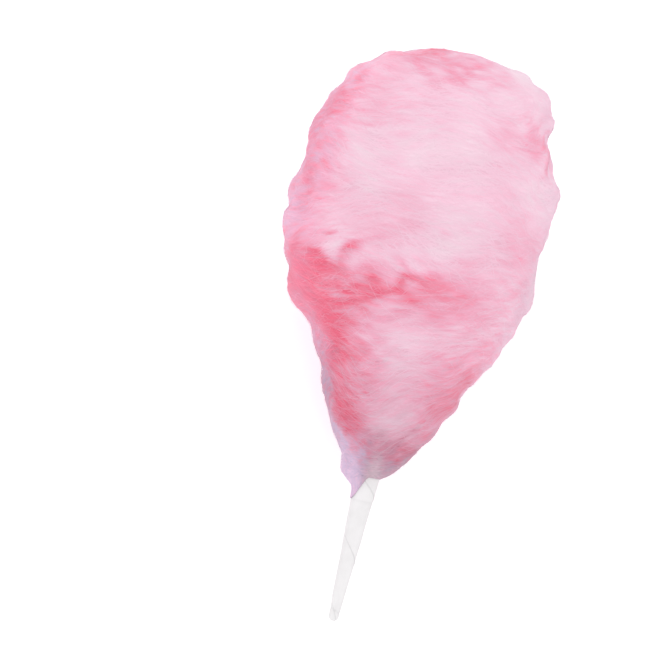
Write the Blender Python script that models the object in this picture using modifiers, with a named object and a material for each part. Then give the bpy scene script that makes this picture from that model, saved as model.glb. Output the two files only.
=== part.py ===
"""Cotton candy on a rolled paper cone, lying on its side.

The candy is shaped in its own frame, in metres. The tip of the paper cone is at the
origin, the cone's axis runs along +Y towards the crown of the floss, +X is its right
side and +Z its shown side. An empty called "candy" then lays it down: the belly of the
floss and the tip of the cone both rest on the ground, the plane Z = 0, and the middle
of the whole thing's box stands over the origin.

"Height" is the distance along the axis from the cone's tip. "Angle" goes round the
axis from the right side (0 degrees) by the shown side (90) to the left side (180).
"""

import math
import random
from collections import namedtuple

import bmesh
import bpy
from mathutils import Vector

# Paper cone
CONE_LENGTH = 0.290
TIP_RADIUS = 0.0034
MOUTH_RADIUS = 0.0182
TUCK_HEIGHT = 0.0065  # where the paper's end is folded in, above the tip
TUCK_DEPTH = 0.0005
TUCK_REACH = 0.0008
CONE_STEPS = 40

# Floss
NECK_HEIGHT = 0.098  # where the floss starts on the cone
BELLY_HEIGHT = 0.286  # where it is widest
CROWN_HEIGHT = 0.416
NECK_RADIUS = 0.0102
BELLY_RADIUS = 0.0910
CROWN_POWER = 2.5  # 2 is an ellipse; more makes the crown blunter
FLARE_POWER = 1.15  # over 1 keeps the lower end slim
WAIST_DEPTH = 0.0078  # the flare is slimmer half way up
WAIST_PLACE = 0.52  # as a share of the way from neck to belly
WAIST_REACH = 0.13
BELLY_DRIFT = -0.0085  # the floss sits off the cone's axis: to the left at the belly,
CROWN_DRIFT = 0.0015  # and a little to the right at the crown
DRIFT_FROM, DRIFT_TO = 0.205, 0.262
RETURN_FROM, RETURN_TO = 0.366, 0.410
RIM_SKEW = 0.0060  # the neck reaches lower on the left than on the right
RIM_SKEW_REACH = 0.030
ROUND_STEPS = 64
RINGS = 54
CROWN_RINGS = 23  # of RINGS, those above the belly

# How it lies, and the room left between touching pieces
REST_TILT = math.radians(17.5)
GAP = 0.0003

# A roll of floss stands out of the turned shape, or a hollow goes in. Angles are in
# degrees and lengths in metres; reaches are where it has faded to about a third.
Roll = namedtuple("Roll", "angle height reach_round reach_along lift")
LEFT_ROLLS = (
    Roll(180, 0.112, 60, 0.008, 0.0055),
    Roll(180, 0.174, 60, 0.010, -0.0035),
    Roll(180, 0.203, 40, 0.012, -0.0030),
    Roll(180, 0.225, 48, 0.013, 0.0030),
    Roll(180, 0.304, 40, 0.010, 0.0025),
    Roll(178, 0.323, 40, 0.008, -0.0028),
    Roll(182, 0.352, 50, 0.020, 0.0020),
    Roll(180, 0.388, 50, 0.012, 0.0020),
    Roll(165, 0.410, 60, 0.010, -0.0045),
)
RIGHT_ROLLS = (
    Roll(0, 0.136, 60, 0.014, 0.0045),
    Roll(0, 0.190, 60, 0.012, -0.0030),
    Roll(0, 0.224, 50, 0.009, -0.0030),
    Roll(0, 0.240, 50, 0.010, 0.0030),
    Roll(2, 0.320, 50, 0.016, 0.0020),
    Roll(-4, 0.350, 50, 0.014, -0.0055),
    Roll(5, 0.378, 60, 0.014, 0.0030),
)
FRONT_AND_BACK_ROLLS = (
    Roll(90, 0.262, 70, 0.030, -0.0030),
    Roll(100, 0.350, 80, 0.028, 0.0025),
    Roll(300, 0.210, 60, 0.018, 0.0025),
)

# The low wraps that winding leaves: many small rolls that climb as they go round
WRAP_SEED = 7
WRAP_COUNT = 74
WRAPS_FROM, WRAPS_TO = 0.130, 0.422
WRAP_REACHES_ROUND = (26.0, 62.0)
WRAP_REACHES_ALONG = (0.0055, 0.0105)
WRAP_LIFTS = (-0.0018, 0.0026, 0.0034)
WRAP_SLOPE = 0.10  # metres climbed for each metre round
FADED = 3.0  # reaches away from its middle, a roll has no effect
CALM_RINGS = 6  # the rolls fade away over this many rings at the crown

# The part of the belly that lies on the ground, where the rolls are pressed smooth
PRESSED_HEIGHT = 0.262
PRESSED_REACH = 0.045
PRESSED_REACH_ROUND = 32.0
UNDERSIDE = 270.0

PINK = (0.93, 0.52, 0.66, 1.0)
WHITE_PAPER = (0.86, 0.86, 0.85, 1.0)


def smooth_step(start, end, value):
    """0 before start, 1 after end, and a smooth rise between them."""
    share = min(max((value - start) / (end - start), 0.0), 1.0)
    return share * share * (3.0 - 2.0 * share)


def cone_radius(height):
    """The paper cone's outer radius, before its tip is rounded."""
    return TIP_RADIUS + (MOUTH_RADIUS - TIP_RADIUS) * height / CONE_LENGTH


def crown_profile(turn):
    """Radius and height on the superellipse over the belly, with turn 0 at the crown
    and a quarter turn at the belly."""
    across, up = math.sin(turn), math.cos(turn)
    reach = (across**CROWN_POWER + up**CROWN_POWER) ** (-1.0 / CROWN_POWER)
    rise = CROWN_HEIGHT - BELLY_HEIGHT
    return BELLY_RADIUS * across * reach, BELLY_HEIGHT + rise * up * reach


def flare_profile(share):
    """Radius and height on the flare, with share 0 at the neck and 1 at the belly."""
    swell = math.sin(0.5 * math.pi * share) ** FLARE_POWER
    waist = math.exp(-(((share - WAIST_PLACE) / WAIST_REACH) ** 2))
    radius = NECK_RADIUS + (BELLY_RADIUS - NECK_RADIUS) * swell - WAIST_DEPTH * waist
    return radius, NECK_HEIGHT + (BELLY_HEIGHT - NECK_HEIGHT) * share


def profile(ring):
    """Radius and height of the turned shape at a ring, counted down from the crown."""
    if ring <= CROWN_RINGS:
        return crown_profile(0.5 * math.pi * ring / CROWN_RINGS)
    return flare_profile((RINGS - 1 - ring) / (RINGS - 1 - CROWN_RINGS))


def profile_normal(ring):
    """The profile's outward unit normal at a ring, as (radial, along the axis)."""
    above, below = profile(max(ring - 1, 0)), profile(min(ring + 1, RINGS - 1))
    normal = Vector((above[1] - below[1], below[0] - above[0]))
    return normal.normalized() if ring else Vector((0.0, 1.0))


def spine(height):
    """How far the middle of the floss is to the right of the cone's axis."""
    leaves = smooth_step(DRIFT_FROM, DRIFT_TO, height)
    returns = smooth_step(RETURN_FROM, RETURN_TO, height)
    return BELLY_DRIFT * leaves * (1.0 - returns) + CROWN_DRIFT * returns


def wound_wraps():
    """The low wraps of the floss, each part of the way round, from the neck up."""
    chance = random.Random(WRAP_SEED)
    step = (WRAPS_TO - WRAPS_FROM) / WRAP_COUNT
    return [
        Roll(
            angle=chance.uniform(0.0, 360.0),
            height=WRAPS_FROM + number * step,
            reach_round=chance.uniform(*WRAP_REACHES_ROUND),
            reach_along=chance.uniform(*WRAP_REACHES_ALONG),
            lift=chance.choice(WRAP_LIFTS),
        )
        for number in range(WRAP_COUNT)
    ]


def turn_between(angle, other):
    """The angle less the other, brought to between -180 and 180 degrees."""
    return (angle - other + 180.0) % 360.0 - 180.0


def lift_at(angle, height, radius, rolls):
    """How far the floss stands out of its turned shape at an angle and a height."""
    lift = 0.0
    for roll in rolls:
        turn = turn_between(angle, roll.angle)
        climb = WRAP_SLOPE * radius * math.radians(turn)
        along = (height - roll.height - climb) / roll.reach_along
        if abs(along) < FADED:
            lift += roll.lift * math.exp(-(along**2) - (turn / roll.reach_round) ** 2)
    pressed_along = (height - PRESSED_HEIGHT) / PRESSED_REACH
    pressed_round = turn_between(angle, UNDERSIDE) / PRESSED_REACH_ROUND
    return lift * (1.0 - math.exp(-(pressed_along**2) - pressed_round**2))


def floss_point(direction, rolls):
    """Where a point of the unit sphere, with its poles on Z, lands on the floss."""
    ring = round(RINGS * math.acos(max(-1.0, min(1.0, direction.z))) / math.pi)
    if ring == RINGS:
        return Vector((0.0, NECK_HEIGHT, 0.0))
    angle = math.degrees(math.atan2(-direction.y, direction.x)) if ring else 0.0
    radius, height = profile(ring)
    out, up = profile_normal(ring)
    lift = lift_at(angle, height, radius, rolls) * smooth_step(0, CALM_RINGS, ring)
    radius += lift * out
    height += lift * up
    side = math.cos(math.radians(angle))
    fade = math.exp(-(height - NECK_HEIGHT) / RIM_SKEW_REACH)
    return Vector(
        (
            spine(height) + radius * side,
            height + RIM_SKEW * side * fade,
            radius * math.sin(math.radians(angle)),
        )
    )


def finish_material(name, colour, roughness):
    """A Principled material of one colour."""
    material = bpy.data.materials.new(name)
    material.use_nodes = True
    shader = material.node_tree.nodes["Principled BSDF"]
    shader.inputs["Base Color"].default_value = colour
    shader.inputs["Roughness"].default_value = roughness
    return material


def add_object(name, mesh, collection, parent=None):
    """Links a new object that holds the mesh."""
    made = bpy.data.objects.new(name, mesh)
    made.parent = parent
    collection.objects.link(made)
    return made


def mesh_from(name, shape):
    """Turns a bmesh into a mesh and frees it."""
    mesh = bpy.data.meshes.new(name)
    shape.to_mesh(mesh)
    shape.free()
    return mesh


def add_cutter(name, mesh, collection, parent=None):
    """A helper that only cuts: it isn't rendered and shows as a wire."""
    cutter = add_object(name, mesh, collection, parent)
    cutter.hide_render = True
    cutter.display_type = "WIRE"
    return cutter


def cut(target, name, cutter):
    """Takes the cutter's space out of the target."""
    boolean = target.modifiers.new(name, "BOOLEAN")
    boolean.operation = "DIFFERENCE"
    boolean.object = cutter


def build_floss(collection, parent):
    """The spun sugar: a sphere whose rings are moved onto the lumpy pear shape."""
    shape = bmesh.new()
    bmesh.ops.create_uvsphere(
        shape, u_segments=ROUND_STEPS, v_segments=RINGS, radius=1.0
    )
    rolls = [*LEFT_ROLLS, *RIGHT_ROLLS, *FRONT_AND_BACK_ROLLS, *wound_wraps()]
    for vertex in shape.verts:
        vertex.co = floss_point(vertex.co, rolls)
    floss = add_object("floss", mesh_from("floss", shape), collection, parent)
    floss.data.shade_smooth()
    floss.data.materials.append(finish_material("spun_sugar", PINK, 0.9))
    return floss


def build_socket(collection, parent):
    """The room that the cone takes in the floss: the cone and a gap all round."""
    below = 0.5 * NECK_HEIGHT  # starts well under the floss, so the cut goes right out
    top = CONE_LENGTH + GAP
    shape = bmesh.new()
    bmesh.ops.create_cone(
        shape,
        cap_ends=True,
        segments=CONE_STEPS,
        radius1=cone_radius(below) + GAP,
        radius2=cone_radius(top) + GAP,
        depth=top - below,
    )
    mesh = mesh_from("socket", shape)
    socket = add_cutter("socket", mesh, collection, parent)
    socket.location.y = 0.5 * (below + top)
    socket.rotation_euler.x = -0.5 * math.pi
    return socket


def build_ground(collection):
    """A block under the plane Z = 0, which presses the belly flat where it rests."""
    side = 2.0 * CROWN_HEIGHT
    shape = bmesh.new()
    bmesh.ops.create_cube(shape, size=side)
    ground = add_cutter("ground", mesh_from("ground", shape), collection)
    ground.location.z = -0.5 * side
    return ground


def cone_outline():
    """The cone's outline as (radius, height), from the middle of its mouth down its
    outer side to the very tip."""
    outline = [(0.0, CONE_LENGTH)]
    side_steps, arc_steps = 12, 5
    side_end = 2.0 * TUCK_HEIGHT
    for step in range(side_steps + 1):
        height = CONE_LENGTH + (side_end - CONE_LENGTH) * step / side_steps
        outline.append((cone_radius(height), height))
    for offset in (TUCK_REACH, 0.0, -TUCK_REACH):
        height = TUCK_HEIGHT + offset
        depth = 0.0 if offset else TUCK_DEPTH
        outline.append((cone_radius(height) - depth, height))
    for step in range(arc_steps + 1):
        turn = 0.5 * math.pi * step / arc_steps
        radius = cone_radius(TIP_RADIUS) * math.cos(turn)
        outline.append((radius, TIP_RADIUS * (1.0 - math.sin(turn))))
    return outline


def build_cone(collection, parent):
    """The paper cone: its outline turned round the axis."""
    outline = cone_outline()
    mesh = bpy.data.meshes.new("paper_cone")
    edges = [(end, end + 1) for end in range(len(outline) - 1)]
    mesh.from_pydata([(radius, 0.0, height) for radius, height in outline], edges, [])
    cone = add_object("paper_cone", mesh, collection, parent)
    cone.rotation_euler.x = -0.5 * math.pi
    turned = cone.modifiers.new("turned", "SCREW")
    turned.steps = CONE_STEPS
    turned.render_steps = CONE_STEPS
    turned.use_merge_vertices = True
    turned.merge_threshold = 0.00002
    cone.data.materials.append(finish_material("white_paper", WHITE_PAPER, 0.6))
    return cone


def world_points(objects):
    """Every point of the objects' finished meshes, as they stand in the world."""
    bpy.context.view_layer.update()
    graph = bpy.context.evaluated_depsgraph_get()
    points = []
    for made in objects:
        finished = made.evaluated_get(graph)
        place = finished.matrix_world
        points += [place @ vertex.co for vertex in finished.to_mesh().vertices]
        finished.to_mesh_clear()
    return points


def lay_down(candy, floss, cone):
    """Tilts the candy until the cone's tip touches the ground, and centres its box."""
    candy.rotation_euler.x = REST_TILT
    candy.location.z = -min(point.z for point in world_points([cone]))
    points = world_points([floss, cone])
    for axis in (0, 1):
        places = [point[axis] for point in points]
        candy.location[axis] = -0.5 * (min(places) + max(places))


def main():
    """Builds the candy and its cutters in an empty scene."""
    for old in list(bpy.data.objects):
        bpy.data.objects.remove(old, do_unlink=True)
    parts = bpy.data.collections.new("cotton_candy")
    cutters = bpy.data.collections.new("cutters")
    for collection in (parts, cutters):
        bpy.context.scene.collection.children.link(collection)

    candy = add_object("candy", None, parts)
    floss = build_floss(parts, candy)
    cone = build_cone(parts, candy)
    cut(floss, "socket", build_socket(cutters, candy))
    cut(floss, "rest", build_ground(cutters))
    lay_down(candy, floss, cone)


main()
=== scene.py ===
"""The looks of a cotton candy on a rolled paper cone, lying on its side.

Everything is worked out in the candy's own frame, in metres: x to the right of the
shown side, y (the "height") along the cone's axis from its tip to the crown, and z out
of the shown side. A "turn" goes round the axis as a share of a full turn, from the
right side by the shown side to the left. A "reach" is a distance along the skin of the
floss, from the rim round the cone up to the crown.
"""

from __future__ import annotations

import logging
import math
from collections.abc import Iterable
from dataclasses import dataclass, field
from enum import Enum

import bpy
import numpy as np
from mathutils import Matrix, Vector


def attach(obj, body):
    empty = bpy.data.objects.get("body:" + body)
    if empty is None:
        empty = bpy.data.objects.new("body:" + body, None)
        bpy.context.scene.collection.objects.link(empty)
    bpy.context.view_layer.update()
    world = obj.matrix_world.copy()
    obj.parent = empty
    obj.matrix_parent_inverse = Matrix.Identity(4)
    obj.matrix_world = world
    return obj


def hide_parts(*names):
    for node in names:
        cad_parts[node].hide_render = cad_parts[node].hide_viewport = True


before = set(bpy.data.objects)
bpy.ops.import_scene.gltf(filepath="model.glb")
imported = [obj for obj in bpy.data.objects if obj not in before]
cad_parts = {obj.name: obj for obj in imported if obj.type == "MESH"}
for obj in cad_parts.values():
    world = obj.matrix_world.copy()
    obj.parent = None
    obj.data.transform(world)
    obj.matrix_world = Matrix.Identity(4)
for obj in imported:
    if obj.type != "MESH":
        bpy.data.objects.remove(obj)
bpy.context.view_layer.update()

LOG = logging.getLogger("cotton_candy")
Array = np.ndarray
MM = 0.001
BODY = "root"


class Slot(Enum):
    """The record's material slots."""

    SUGAR = "spun_sugar"
    PAPER = "white_paper"


# --------------------------------------------------------------------------------------
# Small tools
# --------------------------------------------------------------------------------------


def smooth_step(start: float, end: float, value: Array) -> Array:
    """Rises smoothly from 0 at start to 1 at end: 3t^2 - 2t^3 of the share t between.

    Args:
        start: Where it leaves 0.
        end: Where it reaches 1.
        value: The places to work it out at.

    Returns:
        Values from 0 to 1, shaped as value.
    """
    share = np.clip((value - start) / (end - start), 0.0, 1.0)
    return share * share * (3.0 - 2.0 * share)


def bell(value: Array, middle: float, reach: float) -> Array:
    """A Gaussian bump, 1 at the middle and about a third at its reach."""
    return np.exp(-(((value - middle) / reach) ** 2))


def unit(vectors: Array) -> Array:
    """The same vectors at length 1."""
    length = np.linalg.norm(vectors, axis=-1, keepdims=True)
    return vectors / np.maximum(length, 1e-12)


def linear(colour: str) -> tuple[float, float, float, float]:
    """Turns an sRGB hex colour into the linear values that a shader takes.

    Args:
        colour: Six hex digits, such as "f8cade".

    Returns:
        Red, green, blue and an alpha of 1.
    """
    parts = [int(colour[place : place + 2], 16) / 255.0 for place in (0, 2, 4)]
    red, green, blue = (
        part / 12.92 if part <= 0.04045 else ((part + 0.055) / 1.055) ** 2.4
        for part in parts
    )
    return red, green, blue, 1.0


@dataclass(frozen=True)
class Ripples:
    """Noise over the skin: a sum of seeded plane waves.

    Each wave is cos(2 pi (n turn + f reach) + phase), with n a whole number of cycles
    round the candy, so that it closes on itself, and f the cycles for each metre of
    reach. The sum is scaled to a spread of about 1.
    """

    seed: int
    around: tuple[float, float]  # longest and shortest wave round the belly, metres
    along: tuple[float, float]  # longest and shortest wave along the skin, metres
    count: int = 40

    GIRTH = 0.58  # round the belly, metres

    def at(self, turn: Array, reach: Array) -> Array:
        """Works the noise out.

        Args:
            turn: Places round the axis, as shares of a turn.
            reach: Places along the skin, metres; it broadcasts with turn.

        Returns:
            The noise, shaped as turn and reach together.
        """
        chance = np.random.default_rng(self.seed)
        longest, shortest = self.around
        cycles = self.GIRTH / longest, self.GIRTH / shortest
        around = np.rint(chance.uniform(*cycles, self.count))
        around *= chance.choice((-1.0, 1.0), self.count)
        along = chance.uniform(1.0 / self.along[0], 1.0 / self.along[1], self.count)
        phase = chance.uniform(0.0, 1.0, self.count)
        turn, reach = np.broadcast_arrays(turn, reach)
        total = np.zeros(turn.shape)
        for n, f, start in zip(around, along, phase):
            total += np.cos(2.0 * np.pi * (n * turn + f * reach + start))
        return total * math.sqrt(2.0 / self.count)


@dataclass(frozen=True)
class Clouds:
    """Noise in space: a sum of seeded plane waves cos(2 pi k.p + phase) in every
    direction, with wavelengths between two sizes, scaled to a spread of about 1."""

    seed: int
    sizes: tuple[float, float]  # longest and shortest wave, metres
    count: int = 36

    def at(self, points: Array) -> Array:
        """Works the noise out at points (..., 3) and returns it shaped (...)."""
        chance = np.random.default_rng(self.seed)
        ways = unit(chance.normal(size=(self.count, 3)))
        waves = ways / chance.uniform(*sorted(self.sizes), (self.count, 1))
        phase = chance.uniform(0.0, 1.0, self.count)
        total = np.zeros(points.shape[:-1])
        for wave, start in zip(waves, phase):
            total += np.cos(2.0 * np.pi * (points @ wave + start))
        return total * math.sqrt(2.0 / self.count)


# --------------------------------------------------------------------------------------
# The frame
# --------------------------------------------------------------------------------------


def node_points(node: bpy.types.Object) -> Array:
    """The places of an object's vertices, as an array (count, 3) in metres."""
    vertices = node.data.vertices
    places = np.empty(len(vertices) * 3, np.float32)
    vertices.foreach_get("co", places)
    return places.reshape(-1, 3).astype(float)


@dataclass(frozen=True)
class CandyFrame:
    """Where the candy lies in the world: the cone's tip, and its three directions."""

    tip: Array
    directions: Array  # rows: right, axis, shown

    @classmethod
    def of_cone(cls, node: bpy.types.Object) -> CandyFrame:
        """Reads the frame off the CAD cone: the axis is its points' main direction.

        Its triangles are loose, so points in the same place are first counted once.

        Args:
            node: The cone's CAD node, a turned solid.

        Returns:
            The candy's frame, with the axis towards +Y.
        """
        points = np.unique(np.round(node_points(node), 6), axis=0)
        middle = points.mean(axis=0)
        axis = np.linalg.svd(points - middle, full_matrices=False)[2][0]
        axis *= math.copysign(1.0, axis[1])
        right = unit(np.array((1.0, 0.0, 0.0)) - axis * axis[0])
        tip = middle + axis * ((points - middle) @ axis).min()
        return cls(tip, np.stack((right, axis, np.cross(right, axis))))

    def to_world(self, points: Array) -> Array:
        """Candy points (..., 3) as world points."""
        return self.tip + points @ self.directions

    def to_candy(self, points: Array) -> Array:
        """World points (..., 3) as candy points."""
        return (points - self.tip) @ self.directions.T


# --------------------------------------------------------------------------------------
# Meshes
# --------------------------------------------------------------------------------------


@dataclass
class Piece:
    """A mesh in the making: its points, faces, map and painted values."""

    name: str
    points: Array
    faces: list[Array]  # each (count, 3) or (count, 4)
    corner_map: Array | None = None  # UV of each face corner, in the faces' order
    values: dict[str, Array] = field(default_factory=dict)  # one value for each point
    normals: Array | None = None  # shading normals of the points, if not the faces' own

    def build(self, place: CandyFrame) -> bpy.types.Object:
        """Makes the object, in world places, shaded smooth.

        Args:
            place: The candy's frame, which the points are in.

        Returns:
            The new object, linked to the scene and at the origin.
        """
        mesh = bpy.data.meshes.new(self.name)
        faces = [face for group in self.faces for face in group.tolist()]
        mesh.from_pydata(place.to_world(self.points).tolist(), [], faces)
        mesh.shade_smooth()
        if self.corner_map is not None:
            layer = mesh.uv_layers.new(name="OFBake")
            layer.data.foreach_set("uv", self.corner_map.astype(np.float32).ravel())
        for name, value in self.values.items():
            attribute = mesh.attributes.new(name, "FLOAT", "POINT")
            attribute.data.foreach_set("value", value.astype(np.float32).ravel())
        if self.normals is not None:
            turned = self.normals @ place.directions
            mesh.normals_split_custom_set_from_vertices(turned.tolist())
        made = bpy.data.objects.new(self.name, mesh)
        bpy.context.scene.collection.objects.link(made)
        return made


def put(
    made: bpy.types.Object,
    material: bpy.types.Material,
    stands_for: Iterable[str] = (),
) -> None:
    """Gives a piece its material and body, and reports it.

    Args:
        made: The piece.
        material: Its material.
        stands_for: The CAD nodes it is shown in place of.
    """
    made.data.materials.append(material)
    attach(made, BODY)
    if stands_for:
        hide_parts(*stands_for)
    triangles = sum(len(face.vertices) - 2 for face in made.data.polygons)
    LOG.info("%s: %d triangles", made.name, triangles)


def let_light_through(made: bpy.types.Object) -> None:
    """Lets light pass a piece as it passes real fibres, which hardly shade each other."""
    made.visible_shadow = False
    made.visible_diffuse = False


def spline_weights(wanted: Array, knots: int, closed: bool) -> Array:
    """Uniform cubic B-spline weights.

    Args:
        wanted: Places to work the curve out at, in knots from 0.
        knots: How many knots there are.
        closed: Whether the last knot joins the first; if not, the ends are held.

    Returns:
        A matrix (places, knots) whose rows sum to 1.
    """
    base = np.floor(wanted).astype(int)
    t = wanted - base
    parts = (
        (1.0 - t) ** 3 / 6.0,
        (3.0 * t**3 - 6.0 * t**2 + 4.0) / 6.0,
        (-3.0 * t**3 + 3.0 * t**2 + 3.0 * t + 1.0) / 6.0,
        t**3 / 6.0,
    )
    weights = np.zeros((len(wanted), knots))
    rows = np.arange(len(wanted))
    for step, part in enumerate(parts, start=-1):
        knot = base + step
        knot = knot % knots if closed else np.clip(knot, 0, knots - 1)
        np.add.at(weights, (rows, knot), part)
    return weights


# --------------------------------------------------------------------------------------
# The skin of the floss
# --------------------------------------------------------------------------------------


@dataclass
class FlossSkin:
    """The outer skin of the floss as a grid of rows from the rim up to the crown.

    A pear outline is turned round the axis and laid onto the CAD solid by Shrinkwrap,
    on a coarse grid. A cubic B-spline through that grid gives a smooth, fine one.
    """

    place: CandyFrame
    node: bpy.types.Object
    knots_around: int = 96
    knots_along: int = 64
    around: int = 384
    along: int = 232
    crown_share: float = 0.47  # of the rows, those above the belly
    stand_off: float = 4.0 * MM  # the outline starts this far outside the solid
    rim_share: float = 0.105  # the outline's radius at the rim, of the belly's
    rim_lift: float = 6.0 * MM
    flare_power: float = 1.2
    squareness: float = 2.5  # the superellipse's power
    points: Array = field(init=False)
    normals: Array = field(init=False)
    shading: Array = field(init=False)  # the normals that it is lit by
    turn: Array = field(init=False)
    reach: Array = field(init=False)

    def __post_init__(self) -> None:
        """Works the grid out."""
        solid = self.place.to_candy(node_points(self.node))
        self.low, self.high = solid[:, 1].min(), solid[:, 1].max()
        self.half = 0.5 * np.ptp(solid[:, 0])
        self.belly = solid[np.abs(solid[:, 0]).argmax(), 1]
        knots = self.wrapped_knots()
        rows = np.linspace(0.0, self.knots_along - 1.0, self.along)
        columns = np.arange(self.around) * self.knots_around / self.around
        along = spline_weights(rows, self.knots_along, closed=False)
        around = spline_weights(columns, self.knots_around, closed=True)
        self.points = np.einsum("ra,abk,cb->rck", along, knots, around)
        self.points[-1] = self.points[-1].mean(axis=0)
        self.turn = np.arange(self.around) / self.around
        self.measure()

    def outline(self, share: Array) -> tuple[Array, Array]:
        """A pear's outline: a sine flare up to the belly, a superellipse above it.

        Args:
            share: Places from 0 at the rim to 1 at the crown.

        Returns:
            Radius and height at each place, in metres.
        """
        split = 1.0 - self.crown_share
        flare = np.clip(share / split, 0.0, 1.0)
        swelling = np.sin(0.5 * np.pi * flare) ** self.flare_power
        lower = self.half * (self.rim_share + (1.0 - self.rim_share) * swelling)
        start = self.low + self.rim_lift
        lower_height = start + (self.belly - start) * flare
        turn = 0.5 * np.pi * np.clip((share - split) / self.crown_share, 0.0, 1.0)
        across, up = np.cos(turn), np.sin(turn)
        power = self.squareness
        swell = (across**power + up**power) ** (-1.0 / power)
        upper = self.half * across * swell
        upper_height = self.belly + (self.high - self.belly) * up * swell
        below = share < split
        radius = np.where(below, lower, upper)
        return radius, np.where(below, lower_height, upper_height)

    def wrapped_knots(self) -> Array:
        """Lays the turned outline onto the CAD solid.

        Returns:
            The coarse grid (rows, columns, 3), in the candy's frame.
        """
        share = np.linspace(0.0, 1.0, self.knots_along)
        radius, height = self.outline(share)
        out = unit(np.stack((np.gradient(height), -np.gradient(radius)), axis=1))
        out[-1] = (0.0, 1.0)
        radius = np.maximum(radius + self.stand_off * out[:, 0], 0.2 * MM)
        height = height + self.stand_off * out[:, 1]
        turn = 2.0 * np.pi * np.arange(self.knots_around) / self.knots_around
        grid = np.stack(
            np.broadcast_arrays(
                radius[:, None] * np.cos(turn),
                height[:, None],
                radius[:, None] * np.sin(turn),
            ),
            axis=-1,
        )
        return self.place.to_candy(self.shrinkwrapped(self.place.to_world(grid)))

    def shrinkwrapped(self, grid: Array) -> Array:
        """Moves world points (..., 3) to the nearest point of the CAD solid's skin."""
        mesh = bpy.data.meshes.new("wrap")
        mesh.from_pydata(grid.reshape(-1, 3).tolist(), [], [])
        wrap = bpy.data.objects.new("wrap", mesh)
        bpy.context.scene.collection.objects.link(wrap)
        modifier = wrap.modifiers.new("wrap", "SHRINKWRAP")
        modifier.target = self.node
        finished = wrap.evaluated_get(bpy.context.evaluated_depsgraph_get())
        moved = node_points(finished).reshape(grid.shape)
        bpy.data.objects.remove(wrap)
        bpy.data.meshes.remove(mesh)
        return moved

    def measure(self) -> None:
        """Works out the normals and the reach of each row from the points."""
        up = np.gradient(self.points, axis=0)
        ahead = np.roll(self.points, -1, axis=1) - np.roll(self.points, 1, axis=1)
        self.normals = unit(np.cross(up, ahead))
        self.normals[-1] = (0.0, 1.0, 0.0)
        steps = np.linalg.norm(np.diff(self.points, axis=0), axis=2).mean(axis=1)
        self.reach = np.concatenate(([0.0], np.cumsum(steps)))

    def radius(self) -> Array:
        """How far each point is from the axis, (rows, columns)."""
        return np.hypot(self.points[..., 0], self.points[..., 2])

    def polar(self, radius: Array, height: Array) -> Array:
        """A grid (rows, columns, 3) at a radius and a height that broadcast with the
        skin's columns."""
        angle = 2.0 * np.pi * self.turn
        parts = radius * np.cos(angle), height, radius * np.sin(angle)
        return np.stack(np.broadcast_arrays(*parts), axis=-1)

    def at(self, values: Array, turn: Array, reach: Array) -> Array:
        """Reads a grid of values between its points, bilinearly.

        Args:
            values: A grid (rows, columns, ...).
            turn: Places round the axis, as shares of a turn, of any size.
            reach: Places along the skin, metres, shaped as turn.

        Returns:
            The values there, shaped as turn with the grid's last axes.
        """
        row = np.interp(reach, self.reach, np.arange(self.along))
        column = (turn % 1.0) * self.around
        r, c = np.floor(row).astype(int), np.floor(column).astype(int)
        r = np.minimum(r, self.along - 2)
        c %= self.around
        extra = (1,) * (values.ndim - 2)
        fr = (row - r).reshape(*row.shape, *extra)
        fc = (column - np.floor(column)).reshape(*row.shape, *extra)
        right = (c + 1) % self.around
        lower = values[r, c] * (1.0 - fc) + values[r, right] * fc
        upper = values[r + 1, c] * (1.0 - fc) + values[r + 1, right] * fc
        return lower * (1.0 - fr) + upper * fr


@dataclass(frozen=True)
class Winding:
    """How the floss was wound: bands of fibre that climb towards the right side and
    wander as they go round, with rounded backs and narrow grooves between them."""

    climb: tuple[float, float] = (20.0 * MM, 5.0 * MM)  # on the flare, over the belly
    smile: float = 12.0 * MM  # on the flare, a second wave that sags in the middle
    flare_to_belly: tuple[float, float] = (0.075, 0.165)  # reaches
    calm: tuple[float, float] = (0.080, 0.070)  # faded in from the rim, from the crown
    wander: Ripples = Ripples(11, (0.58, 0.10), (0.30, 0.07), 16)
    wander_size: float = 3.6 * MM
    band: float = 15.0 * MM  # from groove to groove
    band_depth: float = 0.9 * MM
    band_strength: tuple[float, float] = (0.55, 0.35)  # its mean and its spread
    most_strength: float = 1.3
    roundness: float = 0.7
    groove_share: float = 0.6  # of the depth, below the skin
    fade: Ripples = Ripples(12, (0.30, 0.08), (0.12, 0.04), 24)

    def drift(self, turn: Array, reach: Array, top: float) -> Array:
        """How far a fibre has moved along the skin at a turn: a cosine wave that is
        highest on the right side, a second wave of half its length, and a wander.

        Args:
            turn: Places round the axis.
            reach: Places along the skin.
            top: The crown's reach, metres.

        Returns:
            The drift in metres.
        """
        share = smooth_step(*self.flare_to_belly, reach)
        low, high = self.climb
        angle = 2.0 * np.pi * turn
        wave = (low + (high - low) * share) * np.cos(angle)
        wave += self.smile * (1.0 - share) * np.cos(2.0 * angle)
        wave += self.wander_size * self.wander.at(turn, reach)
        from_rim, from_crown = self.calm
        steady = smooth_step(0.0, from_rim, reach)
        return wave * steady * smooth_step(0.0, from_crown, top - reach)

    def relief(self, turn: Array, wound: Array) -> Array:
        """The bands' height: |cos| of the wound reach, raised to a low power, which is
        round on top and sharp in the groove.

        Args:
            turn: Places round the axis.
            wound: Reaches less the drift.

        Returns:
            The height over the skin, in metres.
        """
        phase = np.pi * wound / self.band
        mean, spread = self.band_strength
        strength = np.clip(mean + spread * self.fade.at(turn, wound), 0.0, self.most_strength)
        back = np.abs(np.cos(phase)) ** self.roundness
        return self.band_depth * strength * (back - self.groove_share)


# --------------------------------------------------------------------------------------
# The dye
# --------------------------------------------------------------------------------------


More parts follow.
